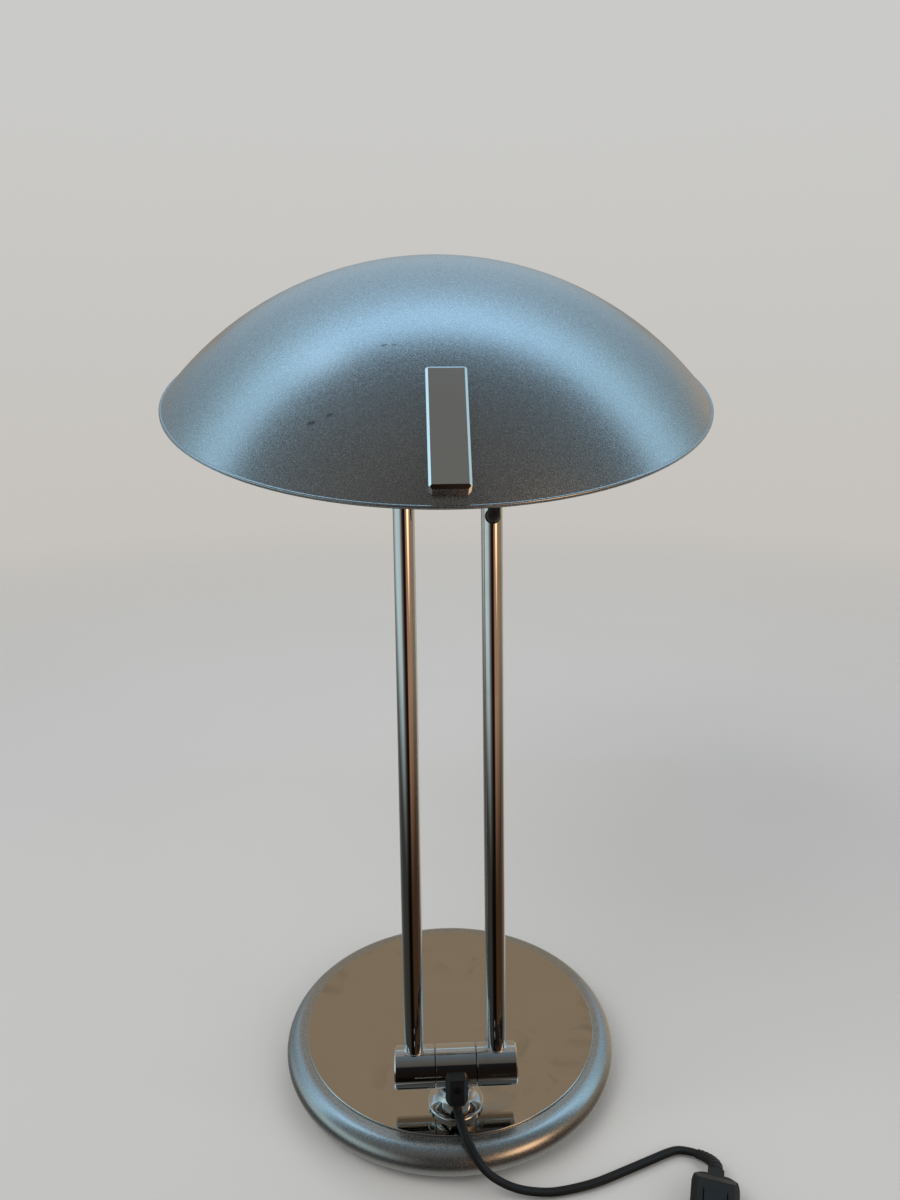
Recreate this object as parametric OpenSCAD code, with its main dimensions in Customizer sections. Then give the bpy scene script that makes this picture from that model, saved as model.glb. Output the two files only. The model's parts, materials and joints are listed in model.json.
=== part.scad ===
// Desk lamp with a dome shade: a round weighted base, a friction swivel, a twin-tube arm between
// two three-part barrel hinges, and a spun dome hung from its rear edge by a chrome bracket.
// Millimetres, +Z up, origin at the centre of the base's underside. +Y is the lamp's front.

/* [Base] */
// Outside diameter of the base
base_d = 220; // [200:1:260]
// Height of the painted base cover's top above the table
base_h = 21; // [20:0.5:26]
// Sheet thickness of the base cover
base_wall = 1.5; // [1:0.1:2]
// Width of the lip turned in under the base cover
base_lip = 1.8; // [1:0.1:3]
// Thickness of the soft pad under the base
pad_t = 3; // [2:0.1:4]
// How far the pad stands below the base cover
pad_proud = 1.5; // [0.5:0.1:1.9]
// Diameter of the chrome top plate
plate_d = 193; // [186:1:196]
// Thickness of the chrome top plate
plate_t = 1; // [0.8:0.1:1.5]
// Depth of the pockets cast into the ballast's underside
pocket_h = 7; // [3:0.5:9]
// Thickness of the ribs between those pockets
rib_t = 8; // [4:0.5:12]

/* [Swivel foot] */
// Distance of the stem behind the base's centre
stem_back = 71; // [60:1:76]
// Diameter of the flared collar at its lip
collar_d = 34; // [30:0.5:40]
// Height of the flared collar
collar_h = 11.5; // [9:0.5:14]
// Height of the collar's rounded lip
collar_lip = 2.6; // [2:0.1:4]
// Diameter of the collar at its top
collar_neck_d = 17; // [16:0.5:20]
// Diameter of the post above the collar
post_d = 14; // [12.5:0.5:15]
// Diameter of the spindle that turns in the collar
spindle_d = 10; // [8:0.5:11]
// Thickness of the washer that the post turns on
slip_t = 0.8; // [0.5:0.1:1.5]

/* [Barrel hinges] */
// Diameter of the hinge barrels
knuckle_d = 24.5; // [24:0.5:28]
// Length of each of the three barrel segments
knuckle_w = 24; // [23:0.5:28]
// Gap between segments, which holds a friction washer
seam = 0.4; // [0.3:0.1:1]
// Diameter of the friction washers
washer_d = 19; // [14:0.5:22]
// Chamfer on the barrel's outer ends
end_chamfer = 0.8; // [0.3:0.1:1.5]
// Chamfer on the edges at the seams
seam_chamfer = 0.3; // [0.1:0.1:0.6]
// Diameter of the hinge bolts
bolt_d = 6; // [5:0.5:6.5]
// Depth of the pocket for the bolt's head or nut
pocket_depth = 8.2; // [8:0.1:9]
// Diameter of that pocket
pocket_d = 12.5; // [12.2:0.1:13]
// Diameter of the caps that close the pockets
cap_d = 20; // [16:0.5:21]
// Thickness of those caps
cap_t = 1.3; // [1:0.1:2]

/* [Arm] */
// Diameter of the arm's two tubes
tube_d = 12; // [10:0.5:12.5]
// Wall of the tubes
tube_wall = 1; // [0.8:0.1:1.5]
// Distance from a barrel's axis to the tube's end inside it
tube_seat = 7; // [6.8:0.1:8]
// Distance between the two hinge axes
arm_len = 356; // [250:1:450]
// Forward lean of the arm
arm_lean = 7.5; // [0:0.5:20]
// Distance of the lead's grommet below the upper hinge axis
grommet_drop = 28.5; // [28:0.5:31]
// Diameter of the grommet's rim
grommet_d = 8.6; // [8:0.1:10]
// Diameter of the sleeved lead inside the shade
sleeve_d = 6.5; // [5:0.5:6.5]

/* [Shade] */
// Diameter of the dome shade at its rim
shade_d = 370; // [300:1:420]
// Depth of the dome
shade_h = 83.5; // [78:0.5:110]
// Sheet thickness of the dome
shade_t = 0.9; // [0.7:0.1:1.5]
// Thickness of the hem rolled round the rim
hem_d = 2.2; // [1.8:0.1:3]
// Tilt of the dome, front edge up
shade_tilt = 17.5; // [0:0.5:25]
// Distance of the upper hinge axis inside the rim
pivot_inset = 40.5; // [40:0.5:45]
// Height of the upper hinge axis above the rim's plane
pivot_up = 7.5; // [5:0.5:8]

/* [Shade bracket] */
// Width of the chrome bracket on the dome
bracket_w = 22.5; // [20:0.5:30]
// Length of the bracket
bracket_len = 73; // [66:1:90]
// Thickness of the bracket at its middle
bracket_t = 6; // [5.5:0.5:9]
// Distance from the rim to the bracket's lower end
bracket_lift = 8; // [6:0.5:12]
// Bevel along the bracket's long edges
bevel = 1.4; // [0.5:0.1:2.5]
// Bevel across the bracket's two ends
end_bevel = 2; // [0.5:0.1:2.5]
// Length of the block between the upper barrel and the dome
block_len = 46; // [44:1:52]
// Distance from the barrel's axis to the block's shoulders
block_shoulder = 8; // [7:0.5:10]
// Distance between the bracket's two screws, along the dome
screw_pitch = 35; // [34:0.5:40]
// Diameter of the bracket's screws
screw_d = 5; // [4:0.5:6]

/* [Lampholder and bulb] */
// Upward slant of the lampholder from the rim's plane
lamp_slant = 12; // [8:0.5:14]
// Distance from the hinge axis to the lampholder's back
holder_start = 38; // [36:0.5:42]
// Diameter of the lampholder
holder_d = 38; // [34:0.5:38]
// Length of the lampholder's back part
holder_cap_len = 15; // [12:0.5:20]
// Length of the lampholder's skirt
holder_skirt_len = 38; // [32:0.5:42]
// Wall of the lampholder
holder_wall = 2.2; // [1.8:0.1:3]
// Diameter of the hollow threaded rod that carries the lampholder
nipple_d = 10; // [8:0.5:10]
// Diameter of the bulb
bulb_d = 59; // [45:1:60]
// Diameter of the bulb's screw cap
bulb_cap_d = 26; // [24:0.5:27]
// Length of the bulb's glass
bulb_len = 80; // [70:1:84]

/* [Cord] */
// Width of the flat cord
cord_w = 5.4; // [4:0.1:6]
// Thickness of the flat cord
cord_t = 3.2; // [2.5:0.1:4]
// Width of the cord grip on the lower barrel
grip_w = 13; // [12:0.5:16]
// Height of the cord grip
grip_h = 18; // [16:0.5:20]
// Reach of the cord grip behind the swivel's axis
grip_reach = 18; // [17.5:0.5:22]
// Distance of the grip's underside below the hinge axis
grip_low = 13; // [10:0.5:13]
// Length of the cord switch
switch_len = 64; // [56:1:64]
// Width of the cord switch
switch_w = 26; // [22:0.5:30]
// Height of the cord switch
switch_h = 16; // [15:0.5:20]
// Length of the rocker
rocker_len = 23.6; // [18:0.2:26]
// Width of the rocker
rocker_w = 12; // [8:0.5:14]
// Travel of the rocker between on and off
rocker_swing = 14; // [8:1:14]
// Length of the plug's body
plug_len = 36; // [30:1:40]
// Width of the plug's body
plug_w = 26; // [25:0.5:30]
// Thickness of the plug's body
plug_h = 14; // [12:0.5:16]
// Diameter of the plug's pins
pin_d = 4; // [3.8:0.1:4.8]
// Distance between the plug's pins
pin_pitch = 18.6; // [17:0.1:19]
// Length of the plug's pins
pin_len = 19; // [17:0.5:20]

/* [Fits] */
// Radial clearance of the turning fits
run_gap = 0.05; // [0.02:0.01:0.09]
// Radial clearance of the seated fits
seat_gap = 0.05; // [0.02:0.01:0.1]
// Radial clearance of a screw or spindle in its passing holes
pass_gap = 0.3; // [0.2:0.05:0.5]

/* [Hidden] */
$fn = 72;

// Derived places of the base and the swivel
edge_r = (base_h - pad_proud) / 2;             // the cover's full-round edge
edge_x = base_d / 2 - edge_r;                  // where that round edge starts
pad_r = edge_x - base_lip - seat_gap;
ballast_r = pad_r;
ballast_top = base_h - base_wall;
plate_top = base_h + plate_t;
collar_top = plate_top + collar_h;
flare_x = collar_d / 2 - 0.8;                  // centre and radius of the collar's hollow flare
flare_r = (pow(flare_x - collar_neck_d / 2, 2) + pow(collar_h - collar_lip + 0.1, 2))
  / 2 / (collar_h - collar_lip + 0.1);
shoulder_z = collar_top + slip_t;              // the post stands here, on the slip washer
hinge_z = shoulder_z + 1.95 + knuckle_d / 2;   // 1.95 of the post shows under the barrel
nut_well_r = 14;
nut_well_top = ballast_top - 6.5;
clamp_t = 1.5;
wave_t = 1.1;
nut_h = 5.4;
nut_af = 17;                                   // across flats, spindle nut

// Derived places of the hinges
seg_in = knuckle_w / 2 + seam;                 // inner end of an outer segment
seg_out = seg_in + knuckle_w;
tube_x = (seg_in + seg_out) / 2;
pocket_floor = seg_out - cap_t - pocket_depth;
m6_head_d = 10;
m6_head_h = 6;
m6_nut_af = 10;
m6_nut_h = 5;
disc_t = 0.7;                                  // one disc spring
disc_d = 12;
post_top = 6;                                  // distance of the post's end below the hinge axis
spigot_d = 9;                                  // the cord grip's root in the barrel
spigot_in = 5;
grip_screw_d = 5;
grip_screw_up = -2.2;

// Derived places of the shade, measured from the upper hinge axis in the shade's own frame
pivot = [0, arm_len * sin(arm_lean) - stem_back, hinge_z + arm_len * cos(arm_lean)];
dome_y = shade_d / 2 - pivot_inset;            // dome's axis in front of the hinge axis
dome_r = (pow(shade_d / 2, 2) + pow(shade_h, 2)) / (2 * shade_h);
dome_z = shade_h - dome_r - pivot_up;          // centre of the dome's sphere
rim_angle = asin(shade_d / 2 / dome_r);
pivot_angle = atan2(dome_y, -dome_z);          // polar angle of the hinge axis
pivot_r = sqrt(dome_y * dome_y + dome_z * dome_z);
inner_r = dome_r - shade_t;
bracket_angle = rim_angle - (bracket_lift + bracket_len / 2) / dome_r * 180 / PI;
screw_step = screw_pitch / 2 / (pivot_r + block_shoulder) * 180 / PI;
screw_head_d = 8.5;
screw_head_h = 3.6;
screw_bite = 4.4;                              // depth of the screws in the bracket
spot_depth = 1;                                // spot face under each screw head

// The lampholder, along its own axis from the hinge axis
nipple_in = 7.2;
holder_joint = holder_start + holder_cap_len;
holder_end = holder_joint + holder_skirt_len;
bulb_start = holder_end - 4;
bulb_c = bulb_start + bulb_len - bulb_d / 2;
bulb_neck_r = 14;
glass_t = 1;

// The sleeved lead: in the arm's frame from the grommet, then in the shade's frame to the holder
arm_route = [[tube_x, -8.7, -grommet_drop], [tube_x, -9.5, -grommet_drop],
  [tube_x, -10.3, -grommet_drop], [tube_x, -12.9, 1.1 - grommet_drop],
  [tube_x, -14, 3.7 - grommet_drop], [tube_x, -14.2, -19.4], [tube_x, -14.9, -13],
  [tube_x, -15.8, -6], [tube_x, -15.7, 3], [tube_x, -13, 9.6],
  [tube_x, -8.5, 13.6], [tube_x - 0.6, -3, 15.9],
  [tube_x - 1.6, 1.6, 15.7], [20.7, 5.4, 14.8], [18.6, 6.7, 14.4], [17.8, 6.7, 14.4],
  [17, 6.7, 14.4]];
head_route = [[16.4, 12.2, 10.2], [15.6, 12.2, 10.2], [14.8, 12.2, 10.2], [11.4, 13.6, 11.2],
  [8, 17.4, 13.5], [5.4, 22.4, 15.8], [4.5, 27.6, 17], [4.2, 31, 17.7], [4, 34.2, 18.4]];

// The cord on the table: from the grip to the switch, on to the coil, and from it to the plug
lead_route = [[0, -85.8, 35.2], [0, -86.4, 32.2], [1.3, -90.6, 28.5], [3, -97.4, 26.2],
  [6, -104.6, 23.4], [10, -110.2, 19], [15, -114, 14.2], [21.5, -116.2, 10], [30, -117.7, 6.2],
  [40, -118.2, 3.4], [52, -118, 1.9], [66, -116, 1.7], [80, -112.5, 1.7], [98, -105.8, 1.7], [114, -99.6, 1.7],
  [124, -95.8, 1.7],
  [131, -94.2, 1.7], [137.5, -95.6, 1.8], [143, -99, 2.5], [146.6, -104, 4.3],
  [147.7, -109.6, 6.4], [147, -113, 7], [146, -115.7, 7]];
run_route = [[123.4, -176.4, 7], [121.4, -181.8, 5.6], [118, -187.5, 3.8], [112, -194.5, 2.7],
  [104, -200.3, 2.7], [94, -204.6, 2.7], [82, -206.4, 2.7], [70, -206.4, 2.7], [60, -206.4, 2.7]];
tail_route = [[60, -206.4, 8.1], [50, -206.6, 8.1], [40, -207.2, 7.6], [30, -208, 7]];
switch_at = [134.7, -146.1];
switch_turn = -110.5;
split_z = 7.5;                                 // joint between the switch's two halves
axle_z = 12;
axle_d = 3;
coil_at = [60, -173];
coil_mid_r = 28;
coil_columns = 4;
coil_layers = 2;
coil_pitch = 3.6;
coil_in = coil_mid_r - (coil_columns - 1) * coil_pitch / 2 - cord_t / 2;
coil_out = coil_mid_r + (coil_columns - 1) * coil_pitch / 2 + cord_t / 2;
plug_at = [29.7, -208];
cord_sides = 8;
sleeve_sides = 10;
steps = 2;                                     // rings to each stretch of a route

silver = [0.62, 0.64, 0.66];
chrome = [0.82, 0.83, 0.84];
steel = [0.6, 0.6, 0.62];
black = [0.07, 0.07, 0.075];

// ---- frames ----
module at_stem() translate([0, -stem_back, 0]) children();
module at_hinge() translate([0, -stem_back, hinge_z]) children();
module arm_frame() at_hinge() rotate([-arm_lean, 0, 0]) children();
module top_frame() arm_frame() translate([0, 0, arm_len]) children();
module head_frame() translate(pivot) rotate([shade_tilt, 0, 0]) children();
module on_dome(angle) head_frame() translate([0, dome_y, dome_z]) rotate([angle, 0, 0]) children();
module along_lamp() head_frame() rotate([lamp_slant - 90, 0, 0]) children();
module behind_hinge(up) at_hinge() translate([0, 0, up]) rotate([90, 0, 0]) children();
module at_switch() translate([switch_at.x, switch_at.y, 0]) rotate([0, 0, switch_turn]) children();
module at_plug() translate([plug_at.x, plug_at.y, 0]) rotate([0, 0, 180]) children();

// ---- shared shapes ----
module disc(d, hole, h) difference() {
  cylinder(d = d, h = h);
  translate([0, 0, -1]) cylinder(d = hole, h = h + 2);
}

module hex_nut(af, hole, h) difference() {
  intersection() {
    cylinder(r = af / sqrt(3), h = h, $fn = 6);
    cylinder(d1 = af + 2 * h * 0.6, d2 = af * 0.97, h = h);
  }
  translate([0, 0, -1]) cylinder(d = hole, h = h + 2);
}

// a bar along X with chamfered ends
module barrel(x0, x1, c0, c1) rotate([0, 90, 0]) rotate_extrude() polygon([[0, x0],
  [knuckle_d / 2 - c0, x0], [knuckle_d / 2, x0 + c0], [knuckle_d / 2, x1 - c1],
  [knuckle_d / 2 - c1, x1], [0, x1]]);

module x_cylinder(d, x0, x1) translate([x0, 0, 0]) rotate([0, 90, 0]) cylinder(d = d, h = x1 - x0);

module round_rect(l, w, r) {
  square([l - 2 * r, w], center = true);
  square([l, w - 2 * r], center = true);
  for (x = [-1, 1], y = [-1, 1]) translate([x * (l / 2 - r), y * (w / 2 - r)]) circle(r, $fn = 32);
}

// a chamfered rectangle, w by h, standing on its middle
module bevelled(w, h, c) polygon([[-w / 2, 0], [w / 2, 0], [w / 2, h - c], [w / 2 - c, h],
  [c - w / 2, h], [-w / 2, h - c]]);

// ---- cord sweep: an oval section carried along a smoothed route ----
function unit(v) = v / norm(v);
function blend4(a, b, c, d, t) = 0.5 * (2 * b + (c - a) * t + (2 * a - 5 * b + 4 * c - d) * t * t
  + (3 * b - a - 3 * c + d) * t * t * t);
function smoothed(p) = [for (i = [0 : len(p) - 2], k = [0 : steps - 1])
    blend4(p[max(i - 1, 0)], p[i], p[i + 1], p[min(i + 2, len(p) - 1)], k / steps),
  p[len(p) - 1]];
function heading(p, i) = unit(p[min(i + 1, len(p) - 1)] - p[max(i - 1, 0)]);
function section(c, t, ref, w, h, turn, sides) = let (s = unit(cross(t, ref)), u = cross(s, t))
  [for (k = [0 : sides - 1]) let (a = 360 * (k + 0.5) / sides, x = w / 2 * cos(a), y = h / 2 * sin(a))
    c + s * (x * cos(turn) - y * sin(turn)) + u * (x * sin(turn) + y * cos(turn))];

module sweep(route, ref, w, h, turn0, turn1, sides) {
  p = smoothed(route);
  n = len(p);
  rings = [for (i = [0 : n - 1]) section(p[i], heading(p, i), ref, w, h,
    turn0 + (turn1 - turn0) * i / (n - 1), sides)];
  walls = [for (i = [0 : n - 2], k = [0 : sides - 1], half = [0, 1])
    let (a = i * sides + k, b = i * sides + (k + 1) % sides)
    half == 0 ? [a, b, b + sides] : [a, b + sides, a + sides]];
  polyhedron([for (r = rings, q = r) q], concat(walls, [[for (k = [sides - 1 : -1 : 0]) k]],
    [[for (k = [0 : sides - 1]) (n - 1) * sides + k]]));
}

// ---- base ----
module cover_outline(inset) {
  translate([0, pad_proud + inset]) square([edge_x, 2 * (edge_r - inset)]);
  translate([edge_x, pad_proud + edge_r]) circle(edge_r - inset);
}

module base_cover() color(silver) difference() {
  rotate_extrude($fn = 180) difference() {
    cover_outline(0);
    cover_outline(base_wall);
    translate([0, -1]) square([edge_x - base_lip, pad_proud + base_wall + 2]);
  }
  at_stem() cylinder(d = spindle_d + 2 * pass_gap, h = base_h + 1);
}

module base_plate() color(chrome) difference() {
  translate([0, 0, base_h]) rotate_extrude($fn = 180) difference() {
    union() {
      square([plate_d / 2 - plate_t / 2, plate_t]);
      translate([plate_d / 2 - plate_t / 2, plate_t / 2]) circle(plate_t / 2, $fn = 24);
    }
    translate([-plate_t, -1]) square([plate_t, plate_t + 2]);
  }
  at_stem() cylinder(d = spindle_d + 2 * pass_gap, h = plate_top + 1);
}

// cast iron, with pockets underneath between ribs, and a boss round the spindle's nut well
module ballast() color([0.25, 0.25, 0.26]) difference() {
  translate([0, 0, pad_t]) cylinder(r = ballast_r, h = ballast_top - pad_t, $fn = 180);
  difference() {
    translate([0, 0, pad_t - 1]) disc(1.72 * ballast_r, 0.62 * ballast_r, pocket_h + 1);
    for (a = [0 : 60 : 120]) rotate([0, 0, a + 30])
      translate([0, 0, pad_t + pocket_h / 2]) cube([2 * ballast_r, rib_t, 2 * pocket_h], center = true);
    at_stem() cylinder(r = nut_well_r + 6, h = ballast_top);
  }
  at_stem() {
    cylinder(d = spindle_d + 2 * pass_gap, h = ballast_top + 1);
    cylinder(r = nut_well_r, h = nut_well_top);
  }
}

module base_pad() color([0.12, 0.12, 0.12]) cylinder(r = pad_r, h = pad_t, $fn = 180);

// ---- swivel foot ----
module foot_collar() color(chrome) at_stem() translate([0, 0, plate_top]) difference() {
  rotate_extrude() difference() {
    union() {
      square([collar_d / 2 - 1.2, collar_lip]);
      square([collar_d / 2, collar_lip - 1.2]);
      translate([collar_d / 2 - 1.2, collar_lip - 1.2]) circle(1.2, $fn = 32);
      square([collar_d / 2 - 1.2, collar_h]);
    }
    translate([flare_x, collar_lip - 0.1 + flare_r]) circle(flare_r, $fn = 120);
    translate([-3, -1]) square([3, collar_h + 2]);
  }
  translate([0, 0, -1]) cylinder(d = spindle_d + 2 * run_gap, h = collar_h + 2);
}

module clamp_washer() color(steel) at_stem() translate([0, 0, nut_well_top - clamp_t])
  disc(24, spindle_d + 2 * pass_gap, clamp_t);

module stem_post() color(chrome) at_stem() {
  translate([0, 0, shoulder_z]) cylinder(d = post_d, h = hinge_z - post_top - shoulder_z);
  translate([0, 0, pad_t + 1.2]) cylinder(d = spindle_d, h = shoulder_z - pad_t - 1.2);
}

module slip_washer() color(black) at_stem() translate([0, 0, collar_top + 0.02])
  disc(collar_neck_d - 0.8, spindle_d + 2 * pass_gap, slip_t - 0.04);

module wave_washer() color(steel) at_stem() translate([0, 0, nut_well_top - clamp_t - wave_t - 0.02])
  disc(20, spindle_d + 2 * pass_gap, wave_t);

module swivel_nut() color(steel) at_stem()
  translate([0, 0, nut_well_top - clamp_t - wave_t - nut_h - 0.05])
  hex_nut(nut_af, spindle_d + 2 * seat_gap, nut_h);

// ---- barrel hinges ----
// one outer segment, with its tube's socket on the side that up points to
module outer_segment(up) difference() {
  barrel(seg_in, seg_out, seam_chamfer, end_chamfer);
  translate([tube_x, 0, up > 0 ? tube_seat : -knuckle_d])
    cylinder(d = tube_d + 2 * seat_gap, h = knuckle_d - tube_seat);
  x_cylinder(bolt_d + 2 * run_gap, 0, seg_out);
  x_cylinder(pocket_d, pocket_floor, seg_out);
  x_cylinder(cap_d + 2 * seat_gap, seg_out - cap_t, seg_out + 1);
}

module hinge_bolt() {
  x_cylinder(bolt_d, -pocket_floor - m6_nut_h - 3, pocket_floor);
  difference() {
    x_cylinder(m6_head_d, pocket_floor + 0.02, pocket_floor + m6_head_h);
    translate([pocket_floor + 3, 0, 0]) rotate([0, 90, 0]) cylinder(d = 5.8, h = 5, $fn = 6);
  }
  x_cylinder(bolt_d, pocket_floor - 1, pocket_floor + 1);
}

module hinge_nut() translate([-pocket_floor - 2 * disc_t - m6_nut_h - 0.1, 0, 0]) rotate([0, 90, 0])
  hex_nut(m6_nut_af, bolt_d + 2 * seat_gap, m6_nut_h);

// two disc springs under the nut, which give the hinge its friction
module hinge_springs() for (i = [0, 1])
  translate([-pocket_floor - (i + 1) * (disc_t + 0.03), 0, 0]) rotate([0, 90, 0])
  disc(disc_d, bolt_d + 2 * seat_gap, disc_t);

module hinge_washers() for (s = [-1, 1])
  translate([s * (knuckle_w / 2 + seam / 2) - (seam - 0.1) / 2, 0, 0]) rotate([0, 90, 0])
  disc(washer_d, bolt_d + 2 * pass_gap, seam - 0.1);

module hinge_caps() for (s = [-1, 1]) mirror([s < 0 ? 1 : 0, 0, 0])
  translate([seg_out, 0, 0]) rotate([0, -90, 0]) rotate_extrude()
  polygon([[0, 0], [cap_d / 2 - 0.3, 0], [cap_d / 2, 0.3], [cap_d / 2, cap_t], [0, cap_t]]);

module lower_knuckle_center() color(chrome) difference() {
  at_hinge() difference() {
    barrel(-knuckle_w / 2, knuckle_w / 2, seam_chamfer, seam_chamfer);
    x_cylinder(bolt_d + 2 * run_gap, -knuckle_w, knuckle_w);
  }
  at_stem() translate([0, 0, shoulder_z - 1])
    cylinder(d = post_d + 2 * seat_gap, h = hinge_z - post_top - shoulder_z + 1.05);
  behind_hinge(0) translate([0, 0, spigot_in - 0.1])
    cylinder(d = spigot_d + 2 * seat_gap, h = knuckle_d);
}

module lower_knuckle_left() color(chrome) arm_frame() mirror([1, 0, 0]) outer_segment(1);
module lower_knuckle_right() color(chrome) arm_frame() outer_segment(1);
module lower_bolt() color(steel) arm_frame() hinge_bolt();
module lower_nut() color(steel) arm_frame() hinge_nut();
module lower_springs() color(steel) arm_frame() hinge_springs();
module lower_washers() color(black) arm_frame() hinge_washers();
module lower_caps() color(chrome) arm_frame() hinge_caps();

module upper_knuckle_left() color(chrome) top_frame() mirror([1, 0, 0]) outer_segment(-1);
module upper_knuckle_right() color(chrome) top_frame() outer_segment(-1);
module upper_bolt() color(steel) top_frame() hinge_bolt();
module upper_nut() color(steel) top_frame() hinge_nut();
module upper_springs() color(steel) top_frame() hinge_springs();
module upper_washers() color(black) top_frame() hinge_washers();
module upper_caps() color(chrome) top_frame() hinge_caps();

// ---- cord grip on the lower barrel's middle segment ----
module cord_grip() color(black) difference() {
  union() {
    difference() {
      intersection() {
        behind_hinge(0) translate([0, 0, 9]) linear_extrude(grip_reach) polygon([[2 - grip_w / 2, -grip_low],
          [grip_w / 2 - 2, -grip_low], [grip_w / 2, 2 - grip_low], [grip_w / 2, grip_h - grip_low - 3.5],
          [grip_w / 2 - 1.6, grip_h - grip_low], [1.6 - grip_w / 2, grip_h - grip_low],
          [-grip_w / 2, grip_h - grip_low - 3.5], [-grip_w / 2, 2 - grip_low]]);
        at_stem() translate([0, 0, hinge_z - grip_h]) linear_extrude(2 * grip_h) rotate(180)
          bevelled(grip_w, grip_reach, 2.4);
      }
      at_hinge() x_cylinder(knuckle_d + 2 * seat_gap, -knuckle_w, knuckle_w);
    }
    behind_hinge(0) translate([0, 0, spigot_in]) cylinder(d = spigot_d, h = grip_reach - spigot_in - 3);
  }
  behind_hinge(grip_screw_up) translate([0, 0, grip_reach - 4])
    cylinder(d = grip_screw_d + 2 * seat_gap, h = 6);
}

// slotted screw that clamps the cord inside the grip
module grip_screw() color([0.1, 0.1, 0.1]) behind_hinge(grip_screw_up)
  translate([0, 0, grip_reach - 3.9]) difference() {
    cylinder(d = grip_screw_d, h = 3.5);
    translate([0, 0, 3.5]) cube([1, 8, 1.4], center = true);
  }

// ---- arm ----
module arm_tube() translate([tube_x, 0, tube_seat + 0.1])
  disc(tube_d, tube_d - 2 * tube_wall, arm_len - 2 * tube_seat - 0.2);

module tube_left() color(chrome) arm_frame() mirror([1, 0, 0]) arm_tube();

module tube_right() color(chrome) arm_frame() difference() {
  arm_tube();
  translate([tube_x, 0, arm_len - grommet_drop]) rotate([90, 0, 0]) cylinder(d = 7, h = tube_d);
}

module tube_grommet() color(black) top_frame() translate([tube_x, 0, -grommet_drop])
  rotate([90, 0, 0]) {
    translate([0, 0, tube_d / 2 - 0.6]) difference() {
      rotate_extrude() difference() {
        union() {
          square([grommet_d / 2 - 1, 2.8]);
          square([grommet_d / 2, 1.8]);
          translate([grommet_d / 2 - 1, 1.8]) circle(1, $fn = 24);
        }
        translate([-3, -3]) square([3, 9]);
      }
      translate([0, 0, -tube_d / 2 + 0.6]) rotate([90, 0, 0])
        cylinder(d = tube_d + 2 * seat_gap, h = 2 * grommet_d, center = true);
    }
    translate([0, 0, tube_d / 2 - tube_wall - 0.6]) cylinder(d = 7 - 2 * seat_gap, h = 1.8);
  }

module arm_lead() color(black) top_frame()
  sweep(arm_route, [0.5, -0.8, -0.3], sleeve_d, sleeve_d, 0, 0, sleeve_sides);

// ---- head ----
// barrel segment and the block that carries the dome, cut to the dome's inner face
module head_block() color(chrome) difference() {
  union() {
    head_frame() barrel(-knuckle_w / 2, knuckle_w / 2, seam_chamfer, seam_chamfer);
    on_dome(pivot_angle) intersection() {
      translate([-knuckle_w / 2, 3 - block_len / 2, pivot_r + block_shoulder])
        cube([knuckle_w, block_len, dome_r - pivot_r]);
      sphere(r = inner_r - 2 * seat_gap, $fn = 240);
    }
    on_dome(pivot_angle) translate([-knuckle_w / 2, -knuckle_d / 2, pivot_r])
      cube([knuckle_w, knuckle_d, block_shoulder + 1]);
  }
  head_frame() x_cylinder(bolt_d + 2 * run_gap, -knuckle_w, knuckle_w);
  along_lamp() translate([0, 0, nipple_in - 0.1]) cylinder(d = nipple_d + 2 * seat_gap, h = knuckle_d);
  for (s = [-1, 1]) on_dome(pivot_angle + s * screw_step) {
    translate([0, 0, pivot_r]) cylinder(d = screw_d + 2 * pass_gap, h = dome_r - pivot_r);
    translate([0, 0, pivot_r]) cylinder(d = screw_head_d + 0.8, h = block_shoulder + spot_depth);
  }
}

module shade() color(silver) difference() {
  head_frame() translate([0, dome_y, -pivot_up]) rotate_extrude($fn = 240) union() {
    difference() {
      intersection() {
        translate([0, shade_h - dome_r]) circle(dome_r, $fn = 360);
        square([shade_d, shade_h + 1]);
      }
      translate([0, shade_h - dome_r]) circle(inner_r, $fn = 360);
    }
    translate([shade_d / 2 - hem_d / 2, hem_d / 2 - 0.2]) circle(hem_d / 2, $fn = 32);
  }
  for (s = [-1, 1]) on_dome(pivot_angle + s * screw_step)
    translate([0, 0, pivot_r]) cylinder(d = screw_d + 2 * pass_gap, h = dome_r);
}

// bevelled bar, hollowed to sit on the dome
module shade_bracket() color(chrome) difference() {
  on_dome(bracket_angle) translate([0, 0, dome_r - 3]) intersection() {
    rotate([90, 0, 0]) translate([0, 0, -bracket_len / 2]) linear_extrude(bracket_len)
      bevelled(bracket_w, bracket_t + 3, bevel);
    rotate([90, 0, 90]) translate([0, 0, -bracket_w / 2]) linear_extrude(bracket_w)
      bevelled(bracket_len, bracket_t + 3, end_bevel);
    linear_extrude(bracket_t + 3) polygon([for (s = [[1, 1], [-1, 1], [-1, -1], [1, -1]], k = [0, 1])
      let (c = s.x * s.y > 0 ? k : 1 - k)
      [s.x * (bracket_w / 2 - (c == 0 ? 0 : 1.8)), s.y * (bracket_len / 2 - (c == 0 ? 1.8 : 0))]]);
  }
  on_dome(bracket_angle) sphere(r = dome_r + seat_gap, $fn = 240);
  for (s = [-1, 1]) on_dome(pivot_angle + s * screw_step)
    cylinder(d = screw_d + 2 * seat_gap, h = dome_r + screw_bite + 0.2);
}

module bracket_screws() color(steel) for (s = [-1, 1]) on_dome(pivot_angle + s * screw_step) {
  seat = pivot_r + block_shoulder + spot_depth;
  translate([0, 0, seat]) cylinder(d = screw_d, h = dome_r + screw_bite - seat);
  difference() {
    translate([0, 0, seat - screw_head_h]) cylinder(d = screw_head_d, h = screw_head_h);
    translate([0, 0, seat - screw_head_h - 1]) cylinder(d = 4.6, h = 3, $fn = 6);
  }
}

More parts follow.
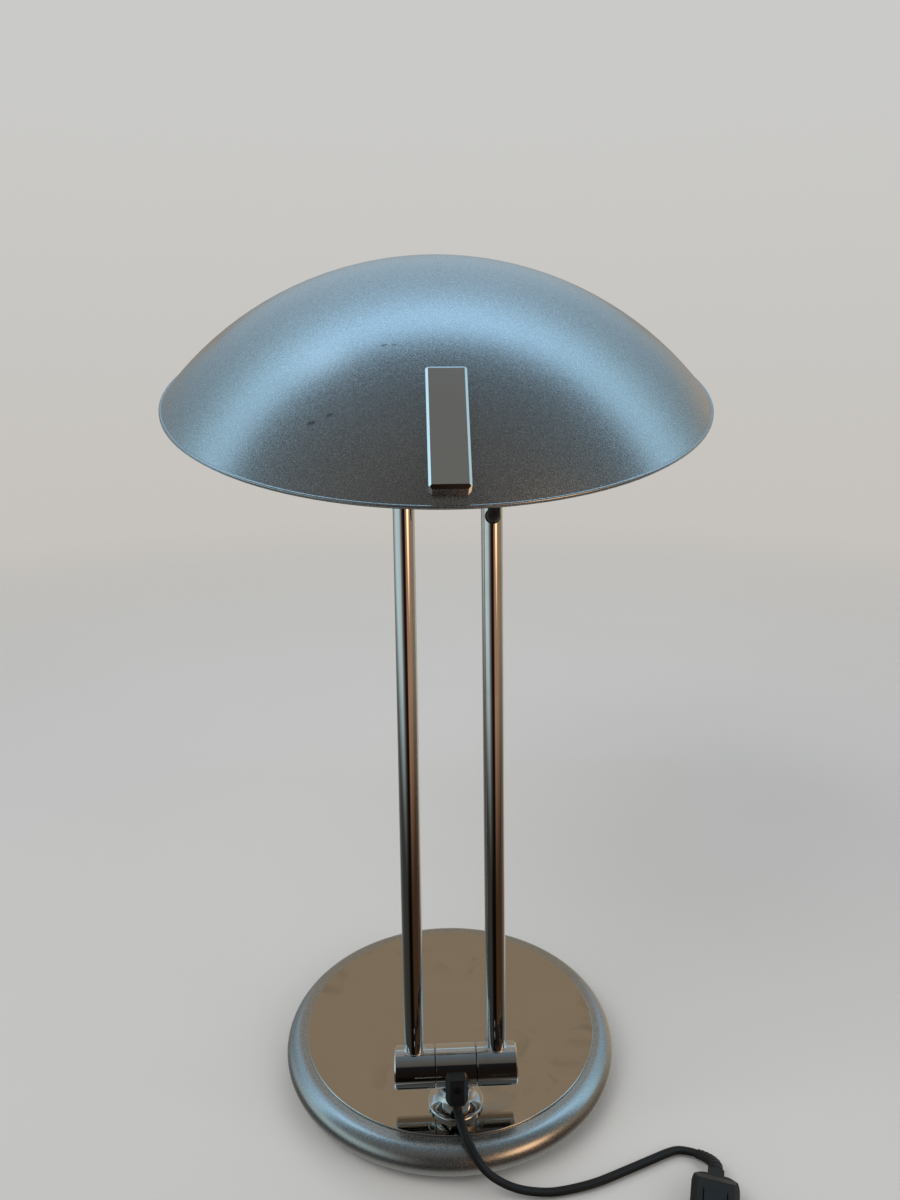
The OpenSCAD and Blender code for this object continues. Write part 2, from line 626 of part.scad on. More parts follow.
// ---- lampholder and bulb ----
module holder_nipple() color([0.75, 0.65, 0.35]) along_lamp() translate([0, 0, nipple_in])
  disc(nipple_d, nipple_d - 3, holder_start + 6 - nipple_in);

module holder_nut() color([0.75, 0.65, 0.35]) along_lamp() translate([0, 0, holder_start - 3.05])
  hex_nut(14, nipple_d + 2 * seat_gap, 3);

module holder_cap() color([0.9, 0.89, 0.86]) along_lamp() difference() {
  translate([0, 0, holder_start]) rotate_extrude() difference() {
    union() {
      square([holder_d / 2 - 3.5, holder_cap_len]);
      translate([0, 3.5]) square([holder_d / 2, holder_cap_len - 3.5]);
      translate([holder_d / 2 - 3.5, 3.5]) circle(3.5, $fn = 48);
    }
    translate([0, holder_wall + 1]) square([holder_d / 2 - holder_wall, holder_cap_len]);
    translate([-9, -1]) square([9, holder_cap_len + 2]);
  }
  cylinder(d = nipple_d + 2 * seat_gap, h = holder_joint);
}

// skirt with grip rings and an inner shelf for the bulb's cap
module holder_skirt() color([0.9, 0.89, 0.86]) along_lamp() translate([0, 0, holder_joint])
  rotate_extrude() difference() {
    union() {
      square([holder_d / 2, holder_skirt_len - 4]);
      square([holder_d / 2 - 1.5, holder_skirt_len]);
      for (i = [0 : 2]) translate([holder_d / 2 - 0.2, 4.5 + 4 * i]) circle(0.8, $fn = 24);
    }
    translate([0, -1]) square([bulb_cap_d / 2 + 0.3, holder_skirt_len + 2]);
    translate([bulb_cap_d / 2, holder_skirt_len - 7]) square([2.4, 8]);
  }

module bulb_cap() color([0.78, 0.76, 0.7]) along_lamp() translate([0, 0, bulb_start - 26]) {
  translate([0, 0, 4]) cylinder(d = bulb_cap_d, h = 22);
  cylinder(d1 = 10, d2 = bulb_cap_d - 3, h = 4);
  translate([0, 0, -1.5]) cylinder(d = 8, h = 2);
}

module bulb_outline(inset) {
  translate([0, bulb_c]) circle(bulb_d / 2 - inset, $fn = 120);
  polygon([[0, bulb_start + inset], [bulb_neck_r - inset, bulb_start + inset],
    [bulb_neck_r + 0.6 - inset, bulb_start + 9], [bulb_neck_r + 3.4 - inset, bulb_start + 17],
    [bulb_d / 2 * 0.78 - inset, bulb_c - bulb_d / 2 * 0.626], [0, bulb_c]]);
}

module bulb_glass() color([0.95, 0.94, 0.9]) along_lamp() rotate_extrude() difference() {
  bulb_outline(0);
  bulb_outline(glass_t);
  translate([-bulb_d, 0]) square([bulb_d, 3 * bulb_len]);
}

module head_lead() color(black) head_frame()
  sweep(head_route, [0.3, -0.5, 0.8], sleeve_d, sleeve_d, 0, 0, sleeve_sides);

// ---- cord, switch and plug ----
module cord_lead() color(black) sweep(lead_route, [0, 0, 1], cord_w, cord_t, 0, 0, cord_sides);
module cord_run() color(black) sweep(run_route, [0, 0, 1], cord_w, cord_t, 0, 90, cord_sides);
module cord_tail() color(black) sweep(tail_route, [0, 0, 1], cord_w, cord_t, 90, 0, cord_sides);

module cord_coil() color(black) translate([coil_at.x, coil_at.y, 0]) rotate_extrude($fn = 96)
  translate([coil_in, 0]) square([coil_out - coil_in, coil_layers * cord_w]);

// the switch's outside: a rounded plan with a neck at each end, and bevelled ends and top
module switch_form() intersection() {
  linear_extrude(switch_h) union() {
    round_rect(switch_len - 10, switch_w, 8);
    square([switch_len, 9], center = true);
  }
  rotate([90, 0, 0]) translate([0, 0, -switch_w]) linear_extrude(2 * switch_w)
    polygon([[-switch_len / 2, 2.5], [3 - switch_len / 2, 0], [switch_len / 2 - 3, 0],
      [switch_len / 2, 2.5], [switch_len / 2, 11], [switch_len / 2 - 7, 12.5],
      [switch_len / 2 - 13, switch_h], [13 - switch_len / 2, switch_h],
      [7 - switch_len / 2, 12.5], [-switch_len / 2, 11]]);
  rotate([90, 0, 90]) translate([0, 0, -switch_len]) linear_extrude(2 * switch_len)
    polygon([[-switch_w / 2, 2], [2 - switch_w / 2, 0], [switch_w / 2 - 2, 0], [switch_w / 2, 2],
      [switch_w / 2, switch_h - 4], [switch_w / 2 - 3, switch_h], [3 - switch_w / 2, switch_h],
      [-switch_w / 2, switch_h - 4]]);
}

module switch_base() color(black) at_switch() difference() {
  switch_form();
  translate([0, 0, switch_h / 2 + split_z]) cube([2 * switch_len, 2 * switch_w, switch_h], center = true);
  for (s = [-1, 1]) translate([s * 20, 0, -1]) {
    cylinder(d = 3 + 2 * pass_gap, h = split_z + 2);
    cylinder(d = 5.6, h = 3.4);
  }
}

module switch_cover() color(black) at_switch() difference() {
  switch_form();
  translate([0, 0, split_z - switch_h / 2 + 0.02]) cube([2 * switch_len, 2 * switch_w, switch_h], center = true);
  translate([0, 0, switch_h]) cube([rocker_len + 1.2, rocker_w + 0.8, 2 * (switch_h - split_z) + 1], center = true);
  translate([0, 0, axle_z]) rotate([90, 0, 0])
    cylinder(d = axle_d + 2 * run_gap, h = rocker_w + 3.2, center = true, $fn = 32);
  for (s = [-1, 1]) translate([s * 20, 0, 0]) cylinder(d = 3 + 2 * seat_gap, h = split_z + 3);
}

module switch_screws() color(steel) at_switch() for (s = [-1, 1]) translate([s * 20, 0, 0.4]) {
  cylinder(d = 5.2, h = 1.9);
  cylinder(d = 3, h = split_z + 2);
}

// shown with one end pressed in
module switch_rocker() color([0.1, 0.1, 0.1]) at_switch() translate([0, 0, axle_z])
  rotate([0, rocker_swing / 2, 0]) {
    difference() {
      rotate([90, 0, 0]) translate([0, 0, -rocker_w / 2]) linear_extrude(rocker_w)
        polygon([[-rocker_len / 2, -2.4], [rocker_len / 2, -2.4], [rocker_len / 2, 4.2],
          [0, 2.9], [-rocker_len / 2, 4.2]]);
      for (s = [-1, 1], i = [0 : 3]) translate([s * (5.6 + 1.5 * i), 0, 4.6 - 0.11 * (3 - i)])
        rotate([90, 0, 0]) cylinder(d = 1.1, h = rocker_w - 3, center = true, $fn = 24);
    }
    rotate([90, 0, 0]) cylinder(d = axle_d, h = rocker_w + 2.8, center = true, $fn = 32);
  }

module plug_body() color(black) at_plug() intersection() {
  linear_extrude(plug_h) polygon([[0, -3.6], [10, -5.4], [plug_len * 0.5, -plug_w / 2],
    [plug_len - 1.5, -plug_w / 2], [plug_len, 1.5 - plug_w / 2], [plug_len, plug_w / 2 - 1.5],
    [plug_len - 1.5, plug_w / 2], [plug_len * 0.5, plug_w / 2], [10, 5.4], [0, 3.6]]);
  rotate([90, 0, 0]) translate([0, 0, -plug_w]) linear_extrude(2 * plug_w)
    polygon([[0, plug_h / 2 - 3], [plug_len * 0.55, 0], [plug_len, 0], [plug_len, plug_h],
      [plug_len * 0.55, plug_h], [0, plug_h / 2 + 3]]);
  rotate([90, 0, 90]) linear_extrude(plug_len)
    polygon([for (s = [[1, 1], [-1, 1], [-1, -1], [1, -1]], k = [0, 1])
      let (c = s.x * s.y > 0 ? k : 1 - k)
      [s.x * (plug_w / 2 - (c == 0 ? 0 : 4)), plug_h / 2 + s.y * (plug_h / 2 - (c == 0 ? 4 : 0))]]);
}

module plug_pins() color([0.8, 0.78, 0.7]) at_plug() for (s = [-1, 1])
  translate([plug_len + 0.02, s * pin_pitch / 2, plug_h / 2]) rotate([0, 90, 0]) {
    cylinder(d = pin_d, h = pin_len - pin_d / 2, $fn = 32);
    translate([0, 0, pin_len - pin_d / 2]) sphere(d = pin_d, $fn = 32);
  }

base_cover();
base_plate();
ballast();
base_pad();
foot_collar();
clamp_washer();
stem_post();
lower_knuckle_center();
cord_grip();
grip_screw();
slip_washer();
wave_washer();
swivel_nut();
lower_knuckle_left();
lower_knuckle_right();
lower_bolt();
lower_nut();
lower_springs();
lower_washers();
lower_caps();
tube_left();
tube_right();
upper_knuckle_left();
upper_knuckle_right();
upper_bolt();
upper_nut();
upper_springs();
upper_washers();
upper_caps();
tube_grommet();
arm_lead();
head_block();
shade();
shade_bracket();
bracket_screws();
holder_nipple();
holder_nut();
holder_cap();
holder_skirt();
bulb_cap();
bulb_glass();
head_lead();
cord_lead();
switch_base();
switch_cover();
switch_screws();
switch_rocker();
cord_run();
cord_coil();
cord_tail();
plug_body();
plug_pins();
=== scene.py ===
import json
import math
import bpy
import bmesh
from mathutils import Matrix, Vector, noise


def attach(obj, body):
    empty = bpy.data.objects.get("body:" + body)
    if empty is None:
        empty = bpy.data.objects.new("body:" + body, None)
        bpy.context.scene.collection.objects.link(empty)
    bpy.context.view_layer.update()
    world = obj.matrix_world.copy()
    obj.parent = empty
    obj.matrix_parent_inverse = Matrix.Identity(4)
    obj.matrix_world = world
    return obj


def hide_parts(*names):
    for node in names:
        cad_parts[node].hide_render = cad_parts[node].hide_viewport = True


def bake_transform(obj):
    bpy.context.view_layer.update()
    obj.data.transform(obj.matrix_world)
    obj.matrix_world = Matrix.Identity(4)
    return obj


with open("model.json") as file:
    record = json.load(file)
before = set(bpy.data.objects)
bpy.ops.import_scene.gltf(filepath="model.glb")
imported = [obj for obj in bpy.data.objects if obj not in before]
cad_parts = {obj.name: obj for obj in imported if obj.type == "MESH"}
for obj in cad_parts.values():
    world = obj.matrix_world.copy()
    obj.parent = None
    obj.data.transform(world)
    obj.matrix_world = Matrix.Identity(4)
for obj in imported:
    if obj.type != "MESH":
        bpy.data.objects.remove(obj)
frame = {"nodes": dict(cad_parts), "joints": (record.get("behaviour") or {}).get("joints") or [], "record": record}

nodes = frame["nodes"]
scene = bpy.context.scene
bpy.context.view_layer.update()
mm = 0.001
up = Vector((0, 0, 1))
slotOf = {entry["node"]: entry["material_slot"] for entry in frame["record"]["subparts"]}
jointPlace = {joint["name"]: Vector([c / mm for c in joint["pos_m"]]) for joint in frame["joints"]}

# camera: the photograph's own place and angle
view = {"place": (-0.0221, -0.5212, 0.4560), "down": 14.83, "right": 2.67, "roll": -0.45,
        "lens": 27.02, "nearest": 0.01}
cameraData = bpy.data.cameras.new("photoCamera")
cameraData.lens = view["lens"]
cameraData.clip_start = view["nearest"]
camera = bpy.data.objects.new("photoCamera", cameraData)
scene.collection.objects.link(camera)
camera.matrix_world = (Matrix.Translation(view["place"])
                       @ Matrix.Rotation(math.radians(-view["right"]), 4, "Z")
                       @ Matrix.Rotation(math.radians(90 - view["down"]), 4, "X")
                       @ Matrix.Rotation(math.radians(view["roll"]), 4, "Z"))
scene.camera = camera
print("camera set")


# small helpers
def addPiece(name, bm, body=None):
    mesh = bpy.data.meshes.new(name)
    bm.to_mesh(mesh)
    bm.free()
    for face in mesh.polygons:
        face.use_smooth = True
    piece = bpy.data.objects.new(name, mesh)
    scene.collection.objects.link(piece)
    if body:
        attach(piece, body)
    return piece


def smoothPath(points, steps):
    # a rounded line through the points, the way the CAD rounds its routes
    line = []
    for i in range(len(points) - 1):
        a, b = points[max(i - 1, 0)], points[i]
        c, d = points[i + 1], points[min(i + 2, len(points) - 1)]
        for k in range(steps):
            t = k / steps
            line.append(0.5 * (2 * b + (c - a) * t + (2 * a - 5 * b + 4 * c - d) * t * t
                               + (3 * b - a - 3 * c + d) * t ** 3))
    return line + [points[-1]]


def lengthOf(line):
    return sum((b - a).length for a, b in zip(line, line[1:]))


def evenPath(line, gap):
    # the same line with its points an even gap apart
    total = lengthOf(line)
    count = max(2, round(total / gap))
    marks, walked, i = [line[0]], 0.0, 0
    for k in range(1, count):
        target = total * k / count
        while walked + (line[i + 1] - line[i]).length < target:
            walked += (line[i + 1] - line[i]).length
            i += 1
        marks.append(line[i].lerp(line[i + 1], (target - walked) / (line[i + 1] - line[i]).length))
    return marks + [line[-1]]


def firstPart(line, length):
    # the start of a line, as long as asked
    kept, walked = [line[0]], 0.0
    for a, b in zip(line, line[1:]):
        walked += (b - a).length
        if walked >= length:
            return kept + [b + (a - b) * ((walked - length) / (b - a).length)]
        kept.append(b)
    return kept


waistWidth = 0.22  # how wide the groove between two cores is, as a share of the cord's half width


def sweepTube(bm, line, profileAt, sides, sideways, closed=False, groove=0.0):
    # rings along the line, skinned with bridge_loops: profileAt gives width, height and turn along the way,
    # and groove is how deep the waist between two cores is
    rings = []
    last = len(line) - 1
    for i, point in enumerate(line[:-1] if closed else line):
        behind = line[last - 1] if closed and i == 0 else line[max(i - 1, 0)]
        ahead = (line[min(i + 1, last)] - behind).normalized()
        across = ahead.cross(sideways).normalized()
        over = across.cross(ahead)
        wide, high, turn = profileAt(i / last)
        ring = bmesh.ops.create_circle(bm, cap_ends=False, segments=sides, radius=1)["verts"]
        for vert in ring:
            waist = 1 - groove * math.exp(-(vert.co.x / waistWidth) ** 2)
            x, y = vert.co.x * wide / 2, vert.co.y * waist * high / 2
            c, s = math.cos(turn), math.sin(turn)
            vert.co = point + across * (x * c - y * s) + over * (x * s + y * c)
        rings.append(ring)
    for near, far in zip(rings, rings[1:] + (rings[:1] if closed else [])):
        edges = [e for v in near for e in v.link_edges if e.other_vert(v) in near]
        edges += [e for v in far for e in v.link_edges if e.other_vert(v) in far]
        bmesh.ops.bridge_loops(bm, edges=list(set(edges)))
    for ring in [] if closed else (rings[0], rings[-1]):
        bmesh.ops.contextual_create(bm, geom=ring)
    bmesh.ops.recalc_face_normals(bm, faces=bm.faces)


# cords: from the grip to the switch, then from the switch through the coil to the plug
cordSize = {"wide": 5.4 * mm, "thick": 3.2 * mm, "sides": 28, "ring": 2.6 * mm, "groove": 0.16}
leadRoute = [(0, -85.8, 35.2), (0, -86.4, 32.2), (1.3, -90.6, 28.5), (3, -97.4, 26.2),
             (6, -104.6, 23.4), (10, -110.2, 19), (15, -114, 14.2), (21.5, -116.2, 10),
             (30, -117.7, 6.2), (40, -118.2, 3.4), (52, -118, 1.9), (66, -116, 1.7),
             (80, -112.5, 1.7), (98, -105.8, 1.7), (114, -99.6, 1.7), (124, -95.8, 1.7),
             (131, -94.2, 1.7), (137.5, -95.6, 1.8), (143, -99, 2.5), (146.6, -104, 4.3),
             (147.7, -109.6, 6.4), (147, -113, 7), (146, -115.7, 7)]
runRoute = [(123.4, -176.4, 7), (121.4, -181.8, 5.6), (118, -187.5, 3.8), (112, -194.5, 2.7),
            (104, -200.3, 2.7), (94, -204.6, 2.7), (82, -206.4, 2.7), (70, -206.4, 2.7)]
tailRoute = [(50, -206.6, 8.1), (40, -207.2, 7.6), (30, -208, 7)]
coil = {"centre": (60, -173), "outer": 33.4, "step": 3.6, "turns": 3, "low": 2.7, "high": 8.1,
        "perTurn": 30, "stray": 0.22, "wander": (0.021, 7, 3.1), "twistIn": 0.062, "twistOut": 0.028}


def coilRoute():
    # bottom layer inwards, up on the inside, top layer outwards, then one more turn to the tail
    route, angle = [], -90.0
    stages = [(coil["turns"], 0, 1, 0, 0), (1, 1, 1, 0, 1), (coil["turns"], 1, 0, 1, 1), (1, 0, 0, 1, 1)]
    wander = coil["wander"]
    for turns, fromIn, toIn, fromHigh, toHigh in stages:
        steps = round(turns * coil["perTurn"])
        for k in range(steps):
            t = k / steps
            depth = (fromIn + (toIn - fromIn) * t) * coil["step"] * coil["turns"]
            lift = fromHigh + (toHigh - fromHigh) * t * t * (3 - 2 * t)
            stray = coil["stray"] * noise.noise(Vector((angle * wander[0], lift * wander[1], wander[2])))
            reach = coil["outer"] - depth + stray
            turn = math.radians(angle - 360 * turns * t)
            route.append((coil["centre"][0] + reach * math.cos(turn),
                          coil["centre"][1] + reach * math.sin(turn),
                          coil["low"] + (coil["high"] - coil["low"]) * lift))
        angle -= 360 * turns
    return route


def flex(name, line, turnAt):
    bm = bmesh.new()
    sweepTube(bm, line, lambda t: (cordSize["wide"], cordSize["thick"], turnAt(t)), cordSize["sides"], up,
              groove=cordSize["groove"])
    return addPiece(name, bm)


leadLine = evenPath(smoothPath([Vector(p) * mm for p in leadRoute], 6), cordSize["ring"])
leadFlex = flex("leadFlex", leadLine, lambda t: 0)
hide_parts("cord_lead")

wholeRoute = [Vector(p) * mm for p in runRoute + coilRoute() + tailRoute]
coilLine = evenPath(smoothPath(wholeRoute, 3), cordSize["ring"])
coilLength = lengthOf(coilLine)


def edgeTurn(t):
    # flat on the table at both ends, on edge in the coil
    start = min(1, max(0, t / (coil["twistIn"] / coilLength)))
    rise = start * min(1, max(0, (1 - t) / (coil["twistOut"] / coilLength)))
    return math.radians(90) * rise * rise * (3 - 2 * rise)


coilFlex = flex("coilFlex", coilLine, edgeTurn)
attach(coilFlex, "base")
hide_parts("cord_run", "cord_coil", "cord_tail")
print("cords made: lead %.3f m, coil %.3f m" % (lengthOf(leadLine), coilLength))


# shader maths
class Maths:
    # wraps a socket, so that an expression adds its Math nodes
    def __init__(self, tree, socket):
        self.tree, self.socket = tree, socket

    def step(self, operation, *others, clamp=False):
        node = self.tree.nodes.new("ShaderNodeMath")
        node.operation = operation
        node.use_clamp = clamp
        for place, value in enumerate((self,) + others):
            if isinstance(value, Maths):
                self.tree.links.new(value.socket, node.inputs[place])
            else:
                node.inputs[place].default_value = value
        return Maths(self.tree, node.outputs[0])

    def __add__(self, other):
        return self.step("ADD", other)

    def __sub__(self, other):
        return self.step("SUBTRACT", other)

    def __rsub__(self, other):
        return self * -1 + other

    def __mul__(self, other):
        return self.step("MULTIPLY", other)

    def __truediv__(self, other):
        return self.step("DIVIDE", other)

    __radd__ = __add__
    __rmul__ = __mul__

    def clamped(self):
        return self.step("ADD", 0.0, clamp=True)

    def size(self):
        return self.step("ABSOLUTE")

    def ramp(self, low, high):
        # 0 below low, 1 above high, smooth between
        node = self.tree.nodes.new("ShaderNodeMapRange")
        node.interpolation_type = "SMOOTHSTEP"
        self.tree.links.new(self.socket, node.inputs["Value"])
        node.inputs["From Min"].default_value, node.inputs["From Max"].default_value = low, high
        return Maths(self.tree, node.outputs["Result"])


class Graph:
    # a node tree, with one method that adds any node and a few short ones for the usual nodes
    def __init__(self, tree, coords):
        self.tree = tree
        self.tree.nodes.clear()
        self.coords = self.add("ShaderNodeTexCoord").outputs[coords]

    def add(self, kind, settings=None, inputs=None):
        node = self.tree.nodes.new(kind)
        for key, value in (settings or {}).items():
            setattr(node, key, value)
        for key, value in (inputs or {}).items():
            self.feed(node.inputs[key], value)
        return node

    def link(self, source, target):
        self.tree.links.new(source, target)

    def feed(self, socket, value):
        if isinstance(value, Maths):
            self.link(value.socket, socket)
        elif isinstance(value, bpy.types.NodeSocket):
            self.link(value, socket)
        else:
            socket.default_value = value

    def noise(self, scale, detail=2.0, rough=0.5, distortion=0.0):
        made = self.add("ShaderNodeTexNoise", inputs={"Vector": self.coords, "Scale": scale, "Detail": detail,
                                                      "Roughness": rough, "Distortion": distortion})
        return Maths(self.tree, made.outputs["Fac"])

    def cells(self, scale, output):
        made = self.add("ShaderNodeTexVoronoi", inputs={"Vector": self.coords, "Scale": scale})
        return made.outputs[output]

    def axis(self, name):
        split = self.add("ShaderNodeSeparateXYZ", inputs={"Vector": self.coords})
        return Maths(self.tree, split.outputs[name])

    def awayFrom(self, place, stretch=(1, 1, 1)):
        gap = self.add("ShaderNodeVectorMath", {"operation": "SUBTRACT"}, {0: self.coords, 1: place})
        gap = self.add("ShaderNodeVectorMath", {"operation": "MULTIPLY"}, {0: gap.outputs[0], 1: stretch})
        return Maths(self.tree, self.add("ShaderNodeVectorMath", {"operation": "LENGTH"},
                                         {0: gap.outputs[0]}).outputs["Value"])

    def blend(self, factor, first, second):
        made = self.add("ShaderNodeMix", {"data_type": "RGBA"})
        for place, value in ((0, factor), (6, first), (7, second)):
            self.feed(made.inputs[place], value)
        return made.outputs[2]


class Finish(Graph):
    # one material and its shader
    def __init__(self, name, **sockets):
        self.material = bpy.data.materials.new(name)
        self.material.use_nodes = True
        super().__init__(self.material.node_tree, "Object")
        self.shader = self.add("ShaderNodeBsdfPrincipled")
        self.output = self.add("ShaderNodeOutputMaterial")
        self.link(self.shader.outputs[0], self.output.inputs[0])
        for socket, value in sockets.items():
            self.set(socket, value)

    def set(self, socket, value):
        self.feed(self.shader.inputs[socket], value)

    def bump(self, height, strength, distance):
        made = self.add("ShaderNodeBump",
                        inputs={"Height": height, "Strength": strength, "Distance": distance})
        self.set("Normal", made.outputs[0])


def rgb(r, g, b):
    return (r, g, b, 1.0)


def toned(tone, amount):
    # the same colour, darker or lighter
    return rgb(*(amount * c for c in tone))


# finishes: flake, cloud, speck, patch, haze, mark, mottle, grain and ragged are scales of patterns
flakePaint = {"metal": 0.93, "flake": 2300, "dark": 0.74, "light": 1.22, "cloud": 9, "cloudShare": 0.35,
              "glint": 1.45, "glintShare": (0.96, 0.99), "speck": 26, "speckSize": (0.035, 0.02),
              "patch": 13, "patchEdge": (0.56, 0.6), "speckTone": (0.05, 0.05, 0.05), "speckShare": 0.75,
              "grain": 420, "grainShare": 0.09, "grainDepth": 0.4 * mm, "coat": 0.08, "coatDullness": 0.22}
scuffing = {"tone": (0.06, 0.06, 0.06), "share": 0.6, "squeeze": (1, 3.2, 2.2), "ragged": 700}
scuffs = [{"place": (-0.0733, -0.0231, 0.4244), "long": 0.0042},
          {"place": (-0.0634, -0.0235, 0.4285), "long": 0.0032},
          {"place": (-0.0334, 0.0026, 0.4651), "long": 0.0026},
          {"place": (-0.0279, 0.0015, 0.4651), "long": 0.0020}]


def metallicPaint(name, tone, dullness, sparkle, inner=None):
    # fine aluminium flake in a satin lacquer, with a few dark specks
    look = flakePaint
    paint = Finish(name, Metallic=look["metal"], Roughness=dullness)
    flake = paint.add("ShaderNodeSeparateColor", inputs={"Color": paint.cells(look["flake"], "Color")})
    flakeTone = Maths(paint.tree, flake.outputs[0])
    cloud = paint.noise(look["cloud"], 3, 0.55)
    speckSpot = Maths(paint.tree, paint.cells(look["speck"], "Distance")).ramp(*look["speckSize"])
    speck = speckSpot * paint.noise(look["patch"], 0).ramp(*look["patchEdge"])
    mottle = (0.5 + sparkle * (flakeTone - 0.5) + look["cloudShare"] * (cloud - 0.5)).clamped()
    base = paint.blend(mottle, toned(tone, look["dark"]), toned(tone, look["light"]))
    base = paint.blend(flakeTone.ramp(*look["glintShare"]) * sparkle, base, toned(tone, look["glint"]))
    base = paint.blend(speck * look["speckShare"], base, rgb(*look["speckTone"]))
    if inner:
        base = scuffed(paint, base)
        skin = inner["radius"]
        inside = paint.awayFrom(inner["centre"]).ramp(skin + inner["edge"], skin - inner["edge"])
        base = paint.blend(inside, base, rgb(*inner["tone"]))
        paint.set("Metallic", look["metal"] - look["metal"] * inside)
    paint.set("Base Color", base)
    paint.set("Roughness", dullness + 0.08 * (flakeTone - 0.5) + 0.05 * (cloud - 0.5))
    paint.set("Coat Weight", look["coat"])
    paint.set("Coat Roughness", look["coatDullness"])
    paint.bump(0.7 * flakeTone + 0.3 * paint.noise(look["grain"], 2), look["grainShare"] * sparkle,
               look["grainDepth"])
    return paint.material


def scuffed(paint, base):
    # short dark rubs with ragged ends
    ragged = 0.7 + 0.6 * paint.noise(scuffing["ragged"], 2)
    for scuff in scuffs:
        reach = paint.awayFrom(scuff["place"], scuffing["squeeze"]) * ragged
        touched = reach.ramp(scuff["long"], scuff["long"] * 0.5)
        base = paint.blend(touched * scuffing["share"], base, rgb(*scuffing["tone"]))
    return base


chromeWear = {"haze": 28, "hazeEdge": (0.45, 0.8), "mark": 34, "markEdge": (0.54, 0.70), "patch": 9,
              "patchEdge": (0.42, 0.60), "dark": 0.96, "light": 1.04, "dulled": 0.76}


def polishedChrome(name, tone, smudge, dullness=0.03):
    # plated mirror metal with a faint haze and soft finger marks
    wear = chromeWear
    plate = Finish(name, Metallic=1.0, Roughness=dullness)
    haze = plate.noise(wear["haze"], 4, 0.6, distortion=0.4)
    marks = plate.noise(wear["mark"], 3, 0.55, distortion=0.6).ramp(*wear["markEdge"])
    marks = marks * plate.noise(wear["patch"], 1).ramp(*wear["patchEdge"])
    dulled = (marks * smudge).clamped()
    clean = plate.blend(haze, toned(tone, wear["dark"]), toned(tone, wear["light"]))
    plate.set("Base Color", plate.blend(dulled, clean, toned(tone, wear["dulled"])))
    plate.set("Roughness", dullness + 0.05 * haze.ramp(*wear["hazeEdge"]) + 0.12 * dulled)
    return plate.material


mouldMark = {"mottle": 60, "dark": 0.94, "light": 1.05, "grainDepth": 0.2 * mm}


def moulded(name, tone, dullness, grain, depth, shine=0.35):
    # plastic or rubber with the fine grain of its mould
    plastic = Finish(name, Roughness=dullness)
    plastic.set("Specular IOR Level", shine)
    rough = plastic.noise(grain, 3, 0.55)
    plastic.set("Base Color", plastic.blend(plastic.noise(mouldMark["mottle"], 2),
                                            toned(tone, mouldMark["dark"]), toned(tone, mouldMark["light"])))
    plastic.set("Roughness", dullness + 0.12 * (rough - 0.5))
    plastic.bump(rough, depth, mouldMark["grainDepth"])
    return plastic.material


toolMark = {"dark": 0.85, "light": 1.12, "grainDepth": 0.1 * mm}


def workedMetal(name, tone, dullness, grain=300, depth=0.1):
    # turned, cast or pressed metal
    metal = Finish(name, Metallic=1.0, Roughness=dullness)
    rough = metal.noise(grain, 3, 0.6)
    metal.set("Base Color", metal.blend(rough, toned(tone, toolMark["dark"]), toned(tone, toolMark["light"])))
    metal.set("Roughness", dullness + 0.14 * (rough - 0.5))
    metal.bump(rough, depth, toolMark["grainDepth"])
    return metal.material


frosting = {"dullness": 0.35, "tones": ((0.86, 0.86, 0.83), (0.92, 0.92, 0.90)), "coat": 0.6,
            "coatDullness": 0.06, "glow": 0.15, "cloud": 60, "grain": 500, "grainDepth": 0.1 * mm}


def frostedGlass():
    # the bulb's white glass
    glass = Finish("frostedGlass", Roughness=frosting["dullness"])
    cloud = glass.noise(frosting["cloud"], 2)
    glass.set("Base Color", glass.blend(cloud, *(rgb(*tone) for tone in frosting["tones"])))
    glass.set("Coat Weight", frosting["coat"])
    glass.set("Coat Roughness", frosting["coatDullness"])
    glass.set("Subsurface Weight", frosting["glow"])
    glass.bump(glass.noise(frosting["grain"], 2), 0.04, frosting["grainDepth"])
    return glass.material


# the ball whose cap the dome is: what lies inside its middle skin is white
dome = {"centre": (0, 0.1646, 0.2821), "radius": 0.24625, "edge": 0.0001, "tone": (0.80, 0.80, 0.78)}
finishes = {
    "silver_paint": metallicPaint("satinSilver", (0.41, 0.42, 0.42), 0.29, 0.45),
    "shade": metallicPaint("domeSilver", (0.41, 0.43, 0.445), 0.25, 0.95, dome),
    "polished_chrome": polishedChrome("chromePlate", (0.62, 0.62, 0.615), 0.5),
    "shade_bracket": polishedChrome("brightChrome", (0.94, 0.94, 0.93), 0.15, 0.10),
    # the disc's grey is chrome's own; its warm tint is a painted reflection of the shaded warm wall behind the
    # lamp
    "base_plate": polishedChrome("chromeDiscWarmReflection", (0.53, 0.50, 0.46), 0.8),
    "iron": workedMetal("castIron", (0.10, 0.10, 0.10), 0.75, 180, 0.5),
    "pad_rubber": moulded("softPad", (0.03, 0.03, 0.03), 0.9, 900, 0.5),
    "black_rubber": moulded("sleeveRubber", (0.010, 0.010, 0.010), 0.5, 700, 0.15),
    "black_plastic": moulded("satinBlack", (0.010, 0.010, 0.010), 0.40, 900, 0.2, 0.25),
    "black_steel": workedMetal("blackSteel", (0.06, 0.06, 0.06), 0.4),
    "steel": workedMetal("zincSteel", (0.52, 0.52, 0.53), 0.32),
    "nylon": moulded("blackNylon", (0.04, 0.04, 0.04), 0.5, 500, 0.1),
    "brass": workedMetal("satinBrass", (0.70, 0.52, 0.25), 0.28),
    "cream_plastic": moulded("creamBakelite", (0.62, 0.59, 0.52), 0.28, 60, 0.03),
    "cap_metal": workedMetal("rolledCap", (0.72, 0.71, 0.67), 0.25),
    "cord_vinyl": moulded("blackVinyl", (0.011, 0.010, 0.009), 0.34, 260, 0.10, 0.24),
    "pin_brass": workedMetal("nickelPins", (0.72, 0.69, 0.60), 0.2),
    "bulb_glass": frostedGlass(),
}


